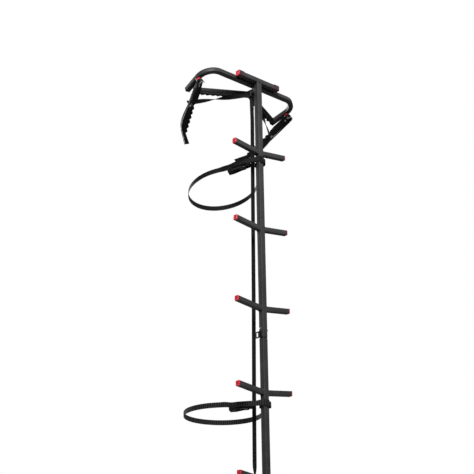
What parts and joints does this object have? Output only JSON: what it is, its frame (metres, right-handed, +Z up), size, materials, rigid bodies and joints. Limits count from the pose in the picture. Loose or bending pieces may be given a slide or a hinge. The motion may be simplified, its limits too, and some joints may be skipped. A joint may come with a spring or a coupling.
{
  "type": "ladder tree stand",
  "caption": "Single-pole tree climbing stick with V-shaped steps, T-bar, bent grab bar, strap-closed toothed jaws and ratchet tree straps.",
  "frame": {"origin": "tree_grip: the tooth line of the grip bar at mid-plane, where the stand bites the trunk", "axes": "+X to the climber's right, +Y towards the tree, +Z up along the post"},
  "size_m": [0.64, 0.4974, 2.2953],
  "materials": {
    "powder_coat": "fine-textured charcoal powder coat",
    "black_steel": "black powder coat on laser-cut plate",
    "ratchet_steel": "black coated pressed steel",
    "zinc_hardware": "bright zinc plate",
    "dark_zinc": "black zinc plate",
    "step_cap": "red moulded plastic",
    "top_bar_cap": "red moulded plastic",
    "black_plastic": "black moulded plastic",
    "webbing": "black ribbed polyester webbing"
  },
  "bodies": {
    "root": {"grab_bar": "powder_coat", "grab_bar_cap_left": "black_plastic", "grab_bar_cap_right": "black_plastic", "grip_bar": "black_steel", "grip_bar_standoff": "powder_coat", "jaw_left_hinge": "black_steel", "jaw_left_pivot_bolt": "zinc_hardware", "jaw_right_hinge": "black_steel", "jaw_right_pivot_bolt": "zinc_hardware", "joint_bolt": "zinc_hardware", "joint_insert": "powder_coat", "joint_nut": "zinc_hardware", "link_strap_left": "webbing", "link_strap_right": "webbing", "lower_post": "powder_coat", "lower_ratchet_frame": "ratchet_steel", "post_plug": "black_plastic", "pull_strap": "webbing", "step_1": "powder_coat", "step_1_cap_left": "step_cap", "step_1_cap_right": "step_cap", "step_2": "powder_coat", "step_2_cap_left": "step_cap", "step_2_cap_right": "step_cap", "step_3": "powder_coat", "step_3_cap_left": "step_cap", "step_3_cap_right": "step_cap", "step_4": "powder_coat", "step_4_cap_left": "step_cap", "step_4_cap_right": "step_cap", "step_5": "powder_coat", "step_5_cap_left": "step_cap", "step_5_cap_right": "step_cap", "strap_keeper": "black_steel", "strap_yoke": "black_steel", "tensioner_bracket": "black_steel", "tensioner_frame": "ratchet_steel", "tooth_plate_left": "black_steel", "tooth_plate_right": "black_steel", "top_bar": "powder_coat", "top_bar_cap_left": "top_bar_cap", "top_bar_cap_right": "top_bar_cap", "tree_strap_lower": "webbing", "tree_strap_upper": "webbing", "upper_post": "powder_coat", "upper_ratchet_frame": "ratchet_steel"},
    "jaw_left": {"jaw_left": "black_steel", "jaw_left_strap_bolt": "zinc_hardware"},
    "jaw_right": {"jaw_right": "black_steel", "jaw_right_strap_bolt": "zinc_hardware"},
    "upper_ratchet_handle": {"upper_ratchet_handle": "ratchet_steel"},
    "upper_ratchet_spool": {"upper_ratchet_spool": "dark_zinc"},
    "upper_ratchet_pawl": {"upper_ratchet_pawl": "dark_zinc"},
    "lower_ratchet_handle": {"lower_ratchet_handle": "ratchet_steel"},
    "lower_ratchet_spool": {"lower_ratchet_spool": "dark_zinc"},
    "lower_ratchet_pawl": {"lower_ratchet_pawl": "dark_zinc"},
    "tensioner_handle": {"tensioner_handle": "ratchet_steel"},
    "tensioner_spool": {"tensioner_spool": "dark_zinc"},
    "tensioner_pawl": {"tensioner_pawl": "dark_zinc"}
  },
  "joints": [
    {"name": "jaw_left_swing", "type": "hinge", "parent": "root", "child": "jaw_left", "pos_m": [-0.304, 0.009, -0.002], "axis": [0, 0.6018, 0.7986], "range_deg": [-12, 40], "deforming": ["link_strap_left"]},
    {"name": "jaw_right_swing", "type": "hinge", "parent": "root", "child": "jaw_right", "pos_m": [0.304, 0.009, -0.002], "axis": [0, 0.6018, 0.7986], "range_deg": [-40, 12], "deforming": ["link_strap_right"]},
    {"name": "upper_ratchet_handle_swing", "type": "hinge", "parent": "root", "child": "upper_ratchet_handle", "pos_m": [-0.0429, -0.04791, -0.39718], "axis": [-0.8149, -0.5795, 0], "range_deg": [0, 85]},
    {"name": "upper_ratchet_spool_turn", "type": "hinge", "parent": "root", "child": "upper_ratchet_spool", "pos_m": [-0.0429, -0.04791, -0.39718], "axis": [-0.8149, -0.5795, 0], "continuous": true},
    {"name": "upper_ratchet_pawl_slide", "type": "slide", "parent": "upper_ratchet_handle", "child": "upper_ratchet_pawl", "axis": [-0.5696, 0.801, -0.1842], "range_m": [0, 0.006], "stiffness_N_per_m": 300},
    {"name": "lower_ratchet_handle_swing", "type": "hinge", "parent": "root", "child": "lower_ratchet_handle", "pos_m": [-0.04477, -0.04675, -1.616], "axis": [-0.805, -0.5933, 0], "range_deg": [0, 85]},
    {"name": "lower_ratchet_spool_turn", "type": "hinge", "parent": "root", "child": "lower_ratchet_spool", "pos_m": [-0.04477, -0.04675, -1.616], "axis": [-0.805, -0.5933, 0], "continuous": true},
    {"name": "lower_ratchet_pawl_slide", "type": "slide", "parent": "lower_ratchet_handle", "child": "lower_ratchet_pawl", "axis": [-0.5933, 0.805, 0], "range_m": [0, 0.006], "stiffness_N_per_m": 300},
    {"name": "tensioner_handle_swing", "type": "hinge", "parent": "root", "child": "tensioner_handle", "pos_m": [-0.011, -0.011, -2.03], "axis": [0, 1, 0], "range_deg": [0, 150]},
    {"name": "tensioner_spool_turn", "type": "hinge", "parent": "root", "child": "tensioner_spool", "pos_m": [-0.011, -0.011, -2.03], "axis": [0, 1, 0], "continuous": true},
    {"name": "tensioner_pawl_slide", "type": "slide", "parent": "tensioner_handle", "child": "tensioner_pawl", "axis": [0, 0, -1], "range_m": [0, 0.006], "stiffness_N_per_m": 300}
  ],
  "couplings": [
    {"joint": "jaw_right_swing", "follows": "jaw_left_swing", "ratio": -1}
  ]
}
